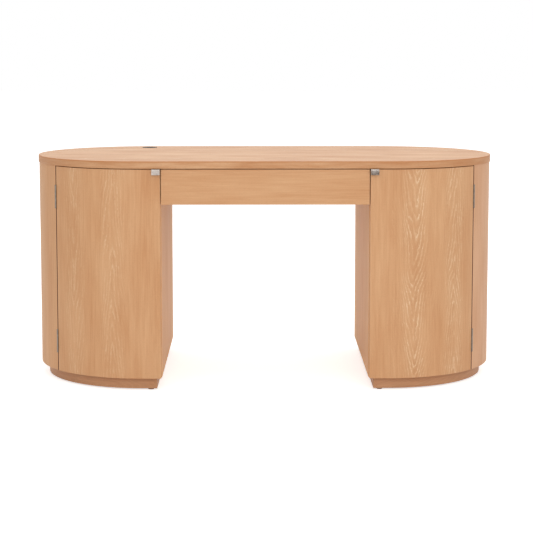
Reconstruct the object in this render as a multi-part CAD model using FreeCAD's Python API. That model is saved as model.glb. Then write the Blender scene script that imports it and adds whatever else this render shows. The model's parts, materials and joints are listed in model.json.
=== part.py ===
import FreeCAD, Part
import math
import os

os.makedirs("parts", exist_ok=True)

# Oval executive desk on two round-ended cabinets, in millimetres with +Z up. The origin is on the floor under the
# middle of the desk, +X is to the sitter's right and the doors and drawer face -Y. Paired pieces are drawn for the
# right-hand cabinet and mirrored for the left. Angles round a cabinet's end are counted in degrees from the front.

# Whole desk
desk_width = 1570.0
desk_depth = 762.0
desk_height = 762.0
desktop_thickness = 24.0
desktop_edge_round = 1.0
body_inset = 2.5
cabinet_straight_width = 62.0
panel_thickness = 18.0
shell_thickness = 18.0
floor_thickness = 18.0
cabinet_top_thickness = 18.0
glue_gap = 0.2

# Plinth and glides
glide_height = 4.0
plinth_height = 38.0
plinth_inset = 26.0
plinth_side_inset = 17.0
plinth_board_thickness = 12.0
plinth_bend_thickness = 18.0
block_size = 30.0
block_height = 30.0
block_angle = 60.0
glide_radius = 10.0
glide_edge_inset = 1.5
glide_corner_inset = 21.0
glide_edge_round = 1.2
glide_nail_radius = 1.25
glide_nail_length = 16.0
glide_angle = 75.0

# Rear apron
apron_height = 118.0
apron_thickness = 18.0

# Doors
seam_angle = 51.5
seam_gap = 3.0
door_thickness = 20.0
door_edge_setback = 2.0
door_top_gap = 2.6
door_reveal = 2.0

# Butt hinges
hinge_height = 78.0
hinge_top_drop = 62.9
hinge_bottom_rise = 62.5
barrel_radius = 3.0
barrel_sink = 1.3
barrel_clearance = 0.3
leaf_thickness = 1.2
leaf_width = 19.0
leaf_relief = 0.5
knuckle_gap = 0.3
end_knuckle_share = 0.25
pin_radius = 1.6
pin_tip = 1.0
pin_grip_gap = 0.02
pin_running_gap = 0.06
hinge_screw_radius = 1.5
hinge_screw_head_radius = 2.8
hinge_screw_length = 16.0
hinge_screw_place_share = 0.58
hinge_screw_height_shares = (0.13, 0.5, 0.87)

# Edge pulls
pull_width = 27.0
pull_metal = 1.5
pull_reach = 13.0
pull_drop = 18.9
pull_seat = 16.0
pull_bend_radius = 4.0
pull_screw_radius = 1.25
pull_screw_head_radius = 2.4
pull_screw_length = 14.0
pull_screw_place_shares = (0.24, 0.76)

# Magnetic catches
strike_radius = 7.0
strike_thickness = 1.0
strike_spigot_radius = 2.0
strike_spigot_length = 8.0
catch_gap = 0.3
catch_side_gap = 10.0
catch_width = 24.0
catch_depth = 14.0
catch_height = 14.0
catch_ear_reach = 8.0
catch_ear_depth = 9.0
catch_ear_thickness = 1.5
magnet_width = 18.0
magnet_depth = 10.0
magnet_height = 8.0
magnet_gap = 0.1

# Shelves
shelf_thickness = 16.0
shelf_side_gap = 2.0
shelf_setback = 15.0
shelf_height_share = 0.48
shelf_seat_gap = 0.3
shelf_pin_radius = 2.5
shelf_pin_collar_radius = 3.5
shelf_pin_collar_length = 9.0
shelf_pin_depth = 9.0
shelf_pin_gap = 0.1
shelf_pin_y_share = 0.7
shelf_pin_angle = 70.0

# Drawer
front_side_gap = 1.0
front_top_gap = 2.6
front_height = 115.4
front_thickness = 20.0
box_height = 90.0
box_length = 450.0
box_board = 12.0
bottom_thickness = 6.0
bottom_rise = 10.0
groove_depth = 5.0
groove_gap = 0.15
front_screw_x_share = 0.72
front_screw_z_shares = (0.3, 0.72)
front_screw_bite_share = 0.75

# Ball-bearing slides
slide_space = 12.7
slide_height = 45.7
slide_metal = 1.2
slide_run_gap = 0.4
slide_head_height = 0.9
slide_head_radius = 3.5
slide_screw_radius = 1.75
outer_screw_length = 14.0
inner_screw_length = 9.0
slide_screw_place_shares = (0.08, 0.5, 0.92)
ball_radius = 1.5
ball_gap = 0.05
cage_metal = 0.4
cage_length = 200.0
cage_edge_share = 0.05
balls_in_row = 6
outer_flange_reach = 9.4

# Screws and dowels
screw_clearance = 0.1
long_screw_radius = 2.25
long_screw_head_radius = 4.5
long_screw_head_height = 2.8
desktop_screw_bite_share = 0.62
desktop_screw_flat_y_share = 0.53
desktop_screw_ring_share = 0.8
desktop_screw_middle_share = 0.4
desktop_screw_angle = 60.0
block_screw_bite_share = 0.6
dowel_radius = 4.0
dowel_length = 30.0
dowel_panel_share = 0.4
dowel_clearance = 0.1
floor_dowel_y_shares = (-0.75, 0.0, 0.75)
apron_dowel_z_shares = (0.2, 0.5, 0.8)

# Cable grommet and cable outlet
grommet_back_inset = 81.0
grommet_outward = 16.0
grommet_flange_radius = 27.0
grommet_flange_height = 2.0
grommet_flange_round = 0.7
grommet_rebate_depth = 1.0
grommet_sleeve_radius = 23.0
grommet_wall = 2.0
grommet_sleeve_length = 20.0
grommet_hole_gap = 0.3
grommet_ledge_width = 2.5
grommet_ledge_height = 2.0
cap_gap = 0.3
cap_thickness = 2.0
cap_skirt_height = 2.0
cap_skirt_wall = 1.8
cap_notch_width = 16.0
cap_notch_depth = 12.0
passage_radius = 26.0
outlet_radius = 25.0
outlet_height = 460.0
outlet_angle = 176.0

# Helpers of construction, not sizes of the desk
overrun = 2 * desk_width
quarter_turn = 90.0
half_turn = 180.0

# Places worked out from the sizes above. The panel's face is the cabinet's side towards the knees.
end_radius = desk_depth / 2
arc_x = desk_width / 2 - end_radius
panel_face_x = arc_x - cabinet_straight_width
body_radius = end_radius - body_inset
body_bottom = glide_height + plinth_height
body_top = desk_height - desktop_thickness
floor_z = body_bottom + floor_thickness
ceiling_z = body_top - cabinet_top_thickness
panel_back_x = panel_face_x + panel_thickness
shell_inner_radius = body_radius - shell_thickness
door_inner_radius = body_radius - door_thickness
door_top = body_top - door_top_gap
door_edge_x = panel_face_x + door_edge_setback
carcass_front_radius = door_inner_radius - door_reveal
plinth_radius = body_radius - plinth_inset
plinth_inner_radius = plinth_radius - plinth_bend_thickness
plinth_board_x = panel_face_x + plinth_side_inset
plinth_bend_x = plinth_board_x + plinth_board_thickness
block_bottom = body_bottom - block_height
hinge_axis_radius = body_radius + barrel_radius - barrel_sink
leaf_gap = seam_gap - 2 * leaf_thickness
hinge_bottoms = (body_bottom + hinge_bottom_rise, door_top - hinge_top_drop - hinge_height)


def point(x, y, z):
    return FreeCAD.Vector(x, y, z)


along_x = point(1, 0, 0)
along_y = point(0, 1, 0)
along_z = point(0, 0, 1)
origin = point(0, 0, 0)


def box(x0, x1, y0, y1, z0, z1):
    """Square-edged block between two opposite corners."""
    return Part.makeBox(x1 - x0, y1 - y0, z1 - z0, point(x0, y0, z0))


def rod(radius, start, end):
    """Round bar from one point to another."""
    axis = end.sub(start)
    return Part.makeCylinder(radius, axis.Length, start, axis)


def half_stadium(radius, inner_x, z0, z1):
    """Board with a straight inner side, straight front and back and a half-round end."""
    rim = Part.Arc(point(arc_x, -radius, z0), point(arc_x + radius, 0, z0), point(arc_x, radius, z0))
    front = Part.LineSegment(point(inner_x, -radius, z0), point(arc_x, -radius, z0))
    back = Part.LineSegment(point(arc_x, radius, z0), point(inner_x, radius, z0))
    inner = Part.LineSegment(point(inner_x, radius, z0), point(inner_x, -radius, z0))
    outline = Part.Wire([side.toShape() for side in (front, rim, back, inner)])
    return Part.Face(outline).extrude(along_z * (z1 - z0))


def at_angle(shape, angle):
    """Move a shape drawn outward along +X from the arc's centre to its angle round the cabinet's end."""
    turned = shape.copy()
    turned.rotate(origin, along_z, angle - quarter_turn)
    turned.translate(along_x * arc_x)
    return turned


def round_place(radius, angle, z):
    """Point on a circle about the arc's centre, at its angle from the front."""
    turn = math.radians(angle)
    return point(arc_x + radius * math.sin(turn), -radius * math.cos(turn), z)


def behind_seam(distance):
    """All space on the shell's side of the hinge seam, from a distance off its middle plane."""
    return at_angle(box(-overrun, overrun, distance, overrun, -overrun, overrun), seam_angle)


def before_seam(distance):
    """All space on the door's side of the hinge seam."""
    return at_angle(box(-overrun, overrun, -overrun, -distance, -overrun, overrun), seam_angle)


def mirrored(shape):
    """The same piece for the left-hand cabinet."""
    return shape.mirror(origin, along_x)


def both_sides(shapes):
    return list(shapes) + [mirrored(shape) for shape in shapes]


def pan_screw(seat, way, radius, length, head_radius, head_height):
    """Screw whose head stands on its seat and whose shank runs the given way."""
    head = rod(head_radius, seat - way * head_height, seat)
    return head.fuse(rod(radius, seat, seat + way * length)).removeSplitter()


def flush_screw(seat, way, radius, length, head_radius, sunk):
    """Screw with a countersunk head whose flat top is level with its seat."""
    head = Part.makeCone(head_radius, radius, sunk, seat, way)
    return head.fuse(rod(radius, seat + way * sunk, seat + way * length)).removeSplitter()


def screw_hole(seat, way, radius, length):
    """Straight hole round a screw's or nail's shank."""
    return rod(radius + screw_clearance, seat, seat + way * (length + screw_clearance))


def sunk_hole(seat, way, radius, head_radius, sunk):
    """Countersunk hole through a metal leaf or strip."""
    wide = head_radius + screw_clearance
    narrow = radius + screw_clearance
    return Part.makeCone(wide, narrow, sunk, seat, way)


def save(name, pieces):
    """Write one node: a single solid, or a group of alike pieces as separate solids."""
    shape = pieces[0] if len(pieces) == 1 else Part.makeCompound(pieces)
    shape.exportStep("parts/" + name + ".step")


def save_pair(name, right, left=None):
    save(name + "_right", [right])
    save(name + "_left", [left or mirrored(right)])


# Desktop screws: up through the cabinet tops
desktop_screw_length = cabinet_top_thickness + desktop_thickness * desktop_screw_bite_share
desktop_screw_x = (panel_back_x + arc_x) / 2


def desktop_screw_seats():
    flat_y = shell_inner_radius * desktop_screw_flat_y_share
    ring = shell_inner_radius * desktop_screw_ring_share
    middle = shell_inner_radius * desktop_screw_middle_share
    flat_seats = [point(desktop_screw_x, side * flat_y, ceiling_z) for side in (-1, 1)]
    angles = (desktop_screw_angle, half_turn - desktop_screw_angle)
    ring_seats = [round_place(ring, angle, ceiling_z) for angle in angles]
    return flat_seats + ring_seats + [round_place(middle, quarter_turn, ceiling_z)]


def desktop_screw_holes():
    seats = desktop_screw_seats()
    return [screw_hole(seat, along_z, long_screw_radius, desktop_screw_length) for seat in seats]


# Cable grommet let into the desktop, over the left-hand cabinet
grommet_x = -arc_x - grommet_outward
grommet_y = end_radius - grommet_back_inset
grommet_flange_bottom = desk_height - grommet_rebate_depth


def grommet_rod(radius, z0, z1):
    return rod(radius, point(grommet_x, grommet_y, z0), point(grommet_x, grommet_y, z1))


def make_grommet():
    flange_top = grommet_flange_bottom + grommet_flange_height
    inner_radius = grommet_sleeve_radius - grommet_wall
    plate_bottom = flange_top - cap_thickness
    skirt_bottom = plate_bottom - cap_skirt_height
    ledge_top = skirt_bottom - cap_gap
    ledge_bottom = ledge_top - grommet_ledge_height
    sleeve_bottom = grommet_flange_bottom - grommet_sleeve_length
    ring = grommet_rod(grommet_flange_radius, grommet_flange_bottom, flange_top)
    rim = [edge for edge in ring.Edges if edge.BoundBox.ZMin > flange_top - grommet_flange_height / 2]
    ring = ring.makeFillet(grommet_flange_round, rim)
    ring = ring.fuse(grommet_rod(grommet_sleeve_radius, sleeve_bottom, grommet_flange_bottom))
    ring = ring.cut(grommet_rod(inner_radius, ledge_top, overrun))
    ring = ring.cut(grommet_rod(inner_radius, -overrun, ledge_bottom))
    ring = ring.cut(grommet_rod(inner_radius - grommet_ledge_width, -overrun, overrun))
    save("grommet_ring", [ring.removeSplitter()])

    cap_radius = inner_radius - cap_gap
    cap = grommet_rod(cap_radius, plate_bottom, flange_top)
    skirt = grommet_rod(cap_radius, skirt_bottom, plate_bottom)
    cap = cap.fuse(skirt.cut(grommet_rod(cap_radius - cap_skirt_wall, -overrun, overrun)))
    notch_y = grommet_y + cap_radius - cap_notch_depth
    half_notch = cap_notch_width / 2
    notch = box(grommet_x - half_notch, grommet_x + half_notch, notch_y, overrun, -overrun, overrun)
    save("grommet_cap", [cap.cut(notch).removeSplitter()])


# Desktop: racetrack board, softened edges, blind screw holes and the grommet's hole
def make_desktop():
    right_half = half_stadium(end_radius, 0, body_top, desk_height)
    board = right_half.fuse(mirrored(right_half)).removeSplitter()
    level = [edge for edge in board.Edges if edge.BoundBox.ZLength < desktop_thickness / 2]
    board = board.makeFillet(desktop_edge_round, level)
    hole = grommet_rod(grommet_sleeve_radius + grommet_hole_gap, -overrun, overrun)
    rebate = grommet_rod(grommet_flange_radius + grommet_hole_gap, grommet_flange_bottom, overrun)
    save("desktop", [board.cut(both_sides(desktop_screw_holes()) + [hole, rebate])])
    seats = desktop_screw_seats()
    screws = [
        pan_screw(seat, along_z, long_screw_radius, desktop_screw_length, long_screw_head_radius,
                  long_screw_head_height)
        for seat in seats
    ]
    save("desktop_screws", both_sides(screws))


# Dowels between the inner panel and the boards that end against it
def dowel(x_middle_side, y, z):
    start = panel_back_x - dowel_length * dowel_panel_share
    if x_middle_side:
        start = panel_face_x + dowel_length * dowel_panel_share - dowel_length
    return point(start, y, z)


def dowel_starts():
    reach = carcass_front_radius
    cabinet = [
        dowel(False, reach * share, z)
        for share in floor_dowel_y_shares
        for z in (body_bottom + floor_thickness / 2, body_top - cabinet_top_thickness / 2)
    ]
    apron_y = body_radius - apron_thickness / 2
    apron_bottom = body_top - apron_height
    apron = [dowel(True, apron_y, apron_bottom + apron_height * share) for share in apron_dowel_z_shares]
    return cabinet, apron


def dowel_rods(starts):
    return [rod(dowel_radius, start, start + along_x * dowel_length) for start in starts]


def dowel_holes(starts):
    gap = along_x * dowel_clearance
    radius = dowel_radius + dowel_clearance
    return [rod(radius, start - gap, start + along_x * dowel_length + gap) for start in starts]


# Butt hinges, drawn along +X from the arc's centre with the seam's middle plane at y = 0
def hinge_plate(side, z0, z1, x1):
    near = side * leaf_gap / 2
    far = side * (leaf_gap / 2 + leaf_thickness)
    return box(hinge_axis_radius - leaf_width, x1, min(near, far), max(near, far), z0, z1)


def knuckle_spans(bottom):
    first = bottom + hinge_height * end_knuckle_share
    second = bottom + hinge_height - hinge_height * end_knuckle_share
    half_gap = knuckle_gap / 2
    ends = [(bottom, first - half_gap), (second + half_gap, bottom + hinge_height)]
    middle = [(first + half_gap, second - half_gap)]
    return ends, middle


def hinge_screw_seats(side, bottom):
    x = hinge_axis_radius - leaf_width * hinge_screw_place_share
    return [point(x, side * leaf_gap / 2, bottom + hinge_height * share) for share in hinge_screw_height_shares]


def hinge_leaf(side, bottom):
    """One leaf: side 1 is let against the shell's edge, side -1 against the door's edge."""
    ends, middle = knuckle_spans(bottom)
    spans = ends if side > 0 else middle
    plate_end = hinge_axis_radius - barrel_radius - leaf_relief
    leaf = hinge_plate(side, bottom, bottom + hinge_height, plate_end)
    for z0, z1 in spans:
        barrel = rod(barrel_radius, point(hinge_axis_radius, 0, z0), point(hinge_axis_radius, 0, z1))
        leaf = leaf.fuse(hinge_plate(side, z0, z1, hinge_axis_radius)).fuse(barrel)
    bore_radius = pin_radius + (pin_grip_gap if side > 0 else pin_running_gap)
    bore = rod(bore_radius, point(hinge_axis_radius, 0, -overrun), point(hinge_axis_radius, 0, overrun))
    holes = [
        sunk_hole(seat, along_y * side, hinge_screw_radius, hinge_screw_head_radius, leaf_thickness)
        for seat in hinge_screw_seats(side, bottom)
    ]
    return at_angle(leaf.removeSplitter().cut([bore] + holes), seam_angle)


def hinge_screws(side):
    return [
        at_angle(flush_screw(seat, along_y * side, hinge_screw_radius, hinge_screw_length,
                             hinge_screw_head_radius, leaf_thickness), seam_angle)
        for bottom in hinge_bottoms
        for seat in hinge_screw_seats(side, bottom)
    ]


def hinge_screw_holes(side):
    return [
        at_angle(screw_hole(seat, along_y * side, hinge_screw_radius, hinge_screw_length), seam_angle)
        for bottom in hinge_bottoms
        for seat in hinge_screw_seats(side, bottom)
    ]


def barrel_recesses():
    """Room for the barrels, which lie partly in the corners of the door's and the shell's edges."""
    spare = pin_tip + barrel_clearance
    return [
        at_angle(rod(barrel_radius + barrel_clearance, point(hinge_axis_radius, 0, bottom - spare),
                     point(hinge_axis_radius, 0, bottom + hinge_height + spare)), seam_angle)
        for bottom in hinge_bottoms
    ]


def hinge_pin(bottom):
    start = point(hinge_axis_radius, 0, bottom - pin_tip)
    end = point(hinge_axis_radius, 0, bottom + hinge_height + pin_tip)
    return at_angle(rod(pin_radius, start, end), seam_angle)


def make_hinges():
    shell_leaves = [hinge_leaf(1, bottom) for bottom in hinge_bottoms]
    door_leaves = [hinge_leaf(-1, bottom) for bottom in hinge_bottoms]
    pins = [hinge_pin(bottom) for bottom in hinge_bottoms]
    save("shell_hinge_leaves", both_sides(shell_leaves))
    save("hinge_pins", both_sides(pins))
    save("shell_hinge_screws", both_sides(hinge_screws(1)))
    save("door_hinge_leaves_right", door_leaves)
    save("door_hinge_leaves_left", [mirrored(leaf) for leaf in door_leaves])
    save("door_hinge_screws_right", hinge_screws(-1))
    save("door_hinge_screws_left", [mirrored(screw) for screw in hinge_screws(-1)])


# Shelves and their pins
shelf_bottom = floor_z + (ceiling_z - floor_z) * shelf_height_share
shelf_pin_z = shelf_bottom - shelf_seat_gap - shelf_pin_collar_radius


def shelf_pin_seats():
    """Where each pin leaves its wall, and the way it points into the cabinet."""
    flat_y = shell_inner_radius * shelf_pin_y_share
    panel = [(point(panel_back_x, side * flat_y, shelf_pin_z), along_x) for side in (-1, 1)]
    shell = []
    for angle in (shelf_pin_angle, half_turn - shelf_pin_angle):
        seat = round_place(shell_inner_radius, angle, shelf_pin_z)
        inward = point(arc_x, 0, shelf_pin_z).sub(seat).normalize()
        shell.append((seat, inward))
    return panel, shell


def shelf_pin(seat, inward):
    collar = rod(shelf_pin_collar_radius, seat + inward * shelf_pin_gap, seat + inward * shelf_pin_collar_length)
    return collar.fuse(rod(shelf_pin_radius, seat - inward * shelf_pin_depth, seat + inward * shelf_pin_gap))


def shelf_pin_hole(seat, inward):
    start = seat - inward * (shelf_pin_depth + shelf_pin_gap)
    return rod(shelf_pin_radius + shelf_pin_gap, start, seat + inward * shelf_pin_depth)


def make_shelves():
    panel, shell = shelf_pin_seats()
    save("shelf_pins", both_sides([shelf_pin(*place).removeSplitter() for place in panel + shell]))
    top = shelf_bottom + shelf_thickness
    inner_x = panel_back_x + shelf_side_gap
    whole = half_stadium(shell_inner_radius - shelf_side_gap, inner_x, shelf_bottom, top)
    behind = whole.common(behind_seam(seam_gap / 2))
    front = half_stadium(carcass_front_radius - shelf_setback, inner_x, shelf_bottom, top)
    save_pair("shelf", front.fuse(behind).removeSplitter())


# Ball-bearing slides as long as the drawer's box, placed from the panel's face towards the drawer. Each level is a
# distance off that face.
slide_length = box_length
outer_web_back = slide_metal
cage_outer_near = outer_web_back + slide_head_height + slide_run_gap
middle_near = cage_outer_near + cage_metal + slide_run_gap
middle_web_back = middle_near + slide_metal
cage_inner_near = middle_web_back + slide_run_gap
inner_near = cage_inner_near + cage_metal + slide_run_gap
inner_web_near = slide_space - slide_metal
race_step = 2 * ball_radius + 2 * ball_gap
outer_half = slide_height / 2
middle_half = outer_half - slide_metal - race_step
inner_half = middle_half - slide_metal - race_step
outer_ball_place = (middle_near + outer_flange_reach) / 2
inner_ball_place = (inner_near + inner_web_near) / 2
slide_front_y = -carcass_front_radius
slide_back_y = slide_front_y + slide_length
slide_middle_y = (slide_front_y + slide_back_y) / 2
front_back_y = -body_radius + front_thickness
box_top = body_top - front_top_gap - (front_height - box_height) / 2
box_bottom = box_top - box_height
slide_z = (box_top + box_bottom) / 2
box_half_width = panel_face_x - slide_space


def slide_box(near, far, y0, y1, z0, z1):
    """Block given by its distances off the right-hand panel's face."""
    return box(panel_face_x - far, panel_face_x - near, y0, y1, z0, z1)


def channel(near, far, half, metal, opens_inward, y0, y1):
    """Steel channel: a web on one side and a flange above and below."""
    solid = slide_box(near, far, y0, y1, slide_z - half, slide_z + half)
    inner_near_side = near + metal if opens_inward else near - overrun
    inner_far_side = far + overrun if opens_inward else far - metal
    hollow_half = half - metal
    hollow = slide_box(inner_near_side, inner_far_side, -overrun, overrun,
                       slide_z - hollow_half, slide_z + hollow_half)
    return solid.cut(hollow)


def slide_screw_seats(near):
    x = panel_face_x - near
    places = [slide_front_y + slide_length * share for share in slide_screw_place_shares]
    return [point(x, y, slide_z) for y in places]


def outer_slide_holes():
    seats = slide_screw_seats(outer_web_back)
    return [screw_hole(seat, along_x, slide_screw_radius, outer_screw_length) for seat in seats]


def inner_slide_holes():
    seats = slide_screw_seats(inner_web_near)
    return [screw_hole(seat, along_x * -1, slide_screw_radius, inner_screw_length) for seat in seats]


def ball_places(place, half):
    """Centres of the balls in the upper and lower rows of one cage."""
    first = slide_middle_y - cage_length / 2 + cage_length * cage_edge_share
    step = cage_length * (1 - 2 * cage_edge_share) / (balls_in_row - 1)
    row = half - ball_gap - ball_radius
    return [
        point(panel_face_x - place, first + step * number, slide_z + side * row)
        for number in range(balls_in_row)
        for side in (-1, 1)
    ]


def ball_cage(near, far, race_half, place):
    """Thin channel that keeps its balls apart, with the balls in its holes."""
    y0 = slide_middle_y - cage_length / 2
    y1 = slide_middle_y + cage_length / 2
    half = race_half - ball_gap - ball_radius + cage_metal / 2
    strip = channel(near, far, half, cage_metal, True, y0, y1)
    centres = ball_places(place, race_half)
    rise = along_z * ball_radius
    windows = [rod(ball_radius + ball_gap, centre - rise, centre + rise) for centre in centres]
    return [strip.cut(windows)] + [Part.makeSphere(ball_radius, centre) for centre in centres]


def make_slides():
    y0, y1 = slide_front_y, slide_back_y
    outer = channel(0, outer_flange_reach, outer_half, slide_metal, True, y0, y1)
    save_pair("slide_outer", outer.cut(outer_slide_holes()))
    middle = channel(middle_near, outer_flange_reach + slide_run_gap, middle_half, slide_metal, True, y0, y1)
    save("slide_middles", both_sides([middle]))
    inner = channel(inner_near, slide_space, inner_half, slide_metal, False, y0, y1)
    save_pair("slide_inner", inner.cut(inner_slide_holes()))
    outer_cage = ball_cage(cage_outer_near, outer_flange_reach, outer_half - slide_metal, outer_ball_place)
    save("ball_cages_outer", both_sides(outer_cage))
    inner_cage = ball_cage(cage_inner_near, inner_web_near - slide_run_gap, middle_half - slide_metal,
                           inner_ball_place)
    save("ball_cages_inner", both_sides(inner_cage))
    screws = [
        pan_screw(seat, along_x * -1, slide_screw_radius, inner_screw_length, slide_head_radius, slide_head_height)
        for seat in slide_screw_seats(inner_web_near)
    ]
    save("slide_inner_screws", both_sides(screws))


# Magnetic catches under the cabinet tops, and the strike plates on the doors
catch_x0 = panel_back_x + catch_side_gap
catch_front_y = -(door_inner_radius - strike_thickness - catch_gap)
catch_bottom = ceiling_z - catch_height
catch_middle_x = catch_x0 + catch_width / 2
magnet_z = (ceiling_z + catch_bottom - catch_ear_thickness) / 2


def magnet_block(extra):
    half_width = magnet_width / 2 + extra
    half_height = magnet_height / 2 + extra
    back = catch_front_y + magnet_depth + extra
    return box(catch_middle_x - half_width, catch_middle_x + half_width, catch_front_y, back,
               magnet_z - half_height, magnet_z + half_height)


def catch_screw_seats():
    y = catch_front_y + catch_depth - catch_ear_depth / 2
    offset = catch_width / 2 + catch_ear_reach / 2
    z = ceiling_z - catch_ear_thickness
    return [point(catch_middle_x + side * offset, y, z) for side in (-1, 1)]


def catch_screw_holes():
    return [screw_hole(seat, along_z, slide_screw_radius, outer_screw_length) for seat in catch_screw_seats()]


def make_catches():
    back = catch_front_y + catch_depth
    housing = box(catch_x0, catch_x0 + catch_width, catch_front_y, back, catch_bottom, ceiling_z)
    ears = box(catch_x0 - catch_ear_reach, catch_x0 + catch_width + catch_ear_reach, back - catch_ear_depth, back,
               ceiling_z - catch_ear_thickness, ceiling_z)
    housing = housing.fuse(ears).removeSplitter().cut([magnet_block(magnet_gap)] + catch_screw_holes())
    save("catch_housings", both_sides([housing]))
    save("catch_magnets", both_sides([magnet_block(0)]))
    seats = [(seat, along_z) for seat in catch_screw_seats()]
    seats += [(seat, along_x) for seat in slide_screw_seats(outer_web_back)]
    screws = [
        pan_screw(seat, way, slide_screw_radius, outer_screw_length, slide_head_radius, slide_head_height)
        for seat, way in seats
    ]
    save("small_screws", both_sides(screws))
    save_pair("strike_plate", strike_plate(0))


def strike_plate(extra):
    face = point(catch_middle_x, -door_inner_radius, magnet_z)
    plate = rod(strike_radius, face, face + along_y * strike_thickness)
    spigot_end = face - along_y * (strike_spigot_length + extra)
    return plate.fuse(rod(strike_spigot_radius + extra, face, spigot_end)).removeSplitter()


# Doors: curved boards with an edge pull screwed onto the top edge
pull_front_y = -(body_radius + pull_reach)
pull_top = door_top + pull_metal
pull_screw_y = -(body_radius - pull_seat / 2)


def pull_screw_seats():
    places = [door_edge_x + pull_width * share for share in pull_screw_place_shares]
    return [point(x, pull_screw_y, pull_top) for x in places]


def make_pulls():
    outer_bend = pull_bend_radius
    inner_bend = pull_bend_radius - pull_metal
    bend_y = pull_front_y + outer_bend
    bend_z = pull_top - outer_bend
    diagonal = math.sqrt(0.5)

    def place(y, z):
        return point(door_edge_x, y, z)

    back_y = -(body_radius - pull_seat)
    inner_y = pull_front_y + pull_metal
    tip_z = pull_top - pull_drop
    sides = [
        Part.LineSegment(place(back_y, pull_top), place(bend_y, pull_top)),
        Part.Arc(place(bend_y, pull_top), place(bend_y - outer_bend * diagonal, bend_z + outer_bend * diagonal),
                 place(pull_front_y, bend_z)),
        Part.LineSegment(place(pull_front_y, bend_z), place(pull_front_y, tip_z)),
        Part.LineSegment(place(pull_front_y, tip_z), place(inner_y, tip_z)),
        Part.LineSegment(place(inner_y, tip_z), place(inner_y, bend_z)),
        Part.Arc(place(inner_y, bend_z), place(bend_y - inner_bend * diagonal, bend_z + inner_bend * diagonal),
                 place(bend_y, door_top)),
        Part.LineSegment(place(bend_y, door_top), place(back_y, door_top)),
        Part.LineSegment(place(back_y, door_top), place(back_y, pull_top)),
    ]
    strip = Part.Face(Part.Wire([side.toShape() for side in sides])).extrude(along_x * pull_width)
    seats = pull_screw_seats()
    down = along_z * -1
    holes = [sunk_hole(seat, down, pull_screw_radius, pull_screw_head_radius, pull_metal) for seat in seats]
    save_pair("pull", strip.cut(holes))
    screws = [
        flush_screw(seat, down, pull_screw_radius, pull_screw_length, pull_screw_head_radius, pull_metal)
        for seat in seats
    ]
    save("pull_screws_right", screws)
    save("pull_screws_left", [mirrored(screw) for screw in screws])


def make_doors():
    outer = half_stadium(body_radius, door_edge_x, body_bottom, door_top)
    hollow = half_stadium(door_inner_radius, -overrun, -overrun, overrun)
    board = outer.cut(hollow).common(before_seam(seam_gap / 2))
    down = along_z * -1
    pull_holes = [screw_hole(seat, down, pull_screw_radius, pull_screw_length) for seat in pull_screw_seats()]
    board = board.cut(hinge_screw_holes(-1) + barrel_recesses() + pull_holes + [strike_plate(screw_clearance)])
    save_pair("door", board)


# Cabinets: inner panel, curved shell, floor and top
def outlet_hole():
    """Round cable outlet through the back of the left-hand shell, drawn for the right-hand one."""
    start = round_place(shell_inner_radius, outlet_angle, outlet_height)
    return rod(outlet_radius, start - along_y * shell_thickness, start + along_y * overrun)


def cabinet_board(z0, z1):
    """Floor or top: set back behind the door, and against the shell behind the hinge seam."""
    full = half_stadium(shell_inner_radius - glue_gap, panel_back_x, z0, z1)
    behind = full.common(behind_seam(seam_gap / 2))
    front = half_stadium(carcass_front_radius, panel_back_x, z0, z1)
    return front.fuse(behind).removeSplitter()


def block_screw_seats():
    edge = block_size / 2
    corner_x = plinth_bend_x + edge
    corner_y = plinth_inner_radius - edge
    seats = [point(corner_x, side * corner_y, block_bottom) for side in (-1, 1)]
    radius = block_outer_radius() - edge
    return seats + [round_place(radius, angle, block_bottom) for angle in block_angles()]


def block_outer_radius():
    """How far out a square block reaches before its corners meet the bent plinth."""
    return math.sqrt(plinth_inner_radius ** 2 - (block_size / 2) ** 2) - glue_gap


def block_angles():
    return (block_angle, half_turn - block_angle)


def block_screw_holes():
    length = block_height + floor_thickness * block_screw_bite_share
    return [screw_hole(seat, along_z, long_screw_radius, length) for seat in block_screw_seats()]


def make_cabinets():
    cabinet_dowels, apron_dowels = dowel_starts()
    panel_pins, shell_pins = shelf_pin_seats()
    panel = box(panel_face_x, panel_back_x, -carcass_front_radius, body_radius, body_bottom, body_top)
    holes = dowel_holes(cabinet_dowels + apron_dowels) + outer_slide_holes()
    holes += [shelf_pin_hole(*place) for place in panel_pins]
    save_pair("inner_panel", panel.cut(holes))

    wall = half_stadium(body_radius, panel_back_x, body_bottom, body_top)
    wall = wall.cut(half_stadium(shell_inner_radius, -overrun, -overrun, overrun))
    wall = wall.common(behind_seam(seam_gap / 2))
    wall = wall.cut(hinge_screw_holes(1) + barrel_recesses() + [shelf_pin_hole(*place) for place in shell_pins])
    save_pair("curved_shell", wall, mirrored(wall.cut(outlet_hole())))

    floor = cabinet_board(body_bottom, floor_z)
    save_pair("cabinet_floor", floor.cut(dowel_holes(cabinet_dowels) + block_screw_holes()))

    top = cabinet_board(ceiling_z, body_top)
    top = top.cut(dowel_holes(cabinet_dowels) + desktop_screw_holes() + catch_screw_holes())
    passage = grommet_rod(passage_radius, -overrun, overrun)
    save_pair("cabinet_top", top, mirrored(top).cut(passage))

    apron_y = body_radius - apron_thickness
    apron = box(-panel_face_x, panel_face_x, apron_y, body_radius, body_top - apron_height, body_top)
    save("rear_apron", [apron.cut(both_sides(dowel_holes(apron_dowels)))])
    save("carcass_dowels", both_sides(dowel_rods(cabinet_dowels + apron_dowels)))


# Plinths, blocks and glides
def glide_places():
    radius = plinth_radius - glide_edge_inset - glide_radius
    corner_x = plinth_board_x + glide_corner_inset
    corners = [point(corner_x, side * radius, 0) for side in (-1, 1)]
    return corners + [round_place(radius, angle, 0) for angle in (glide_angle, half_turn - glide_angle)]


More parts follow.
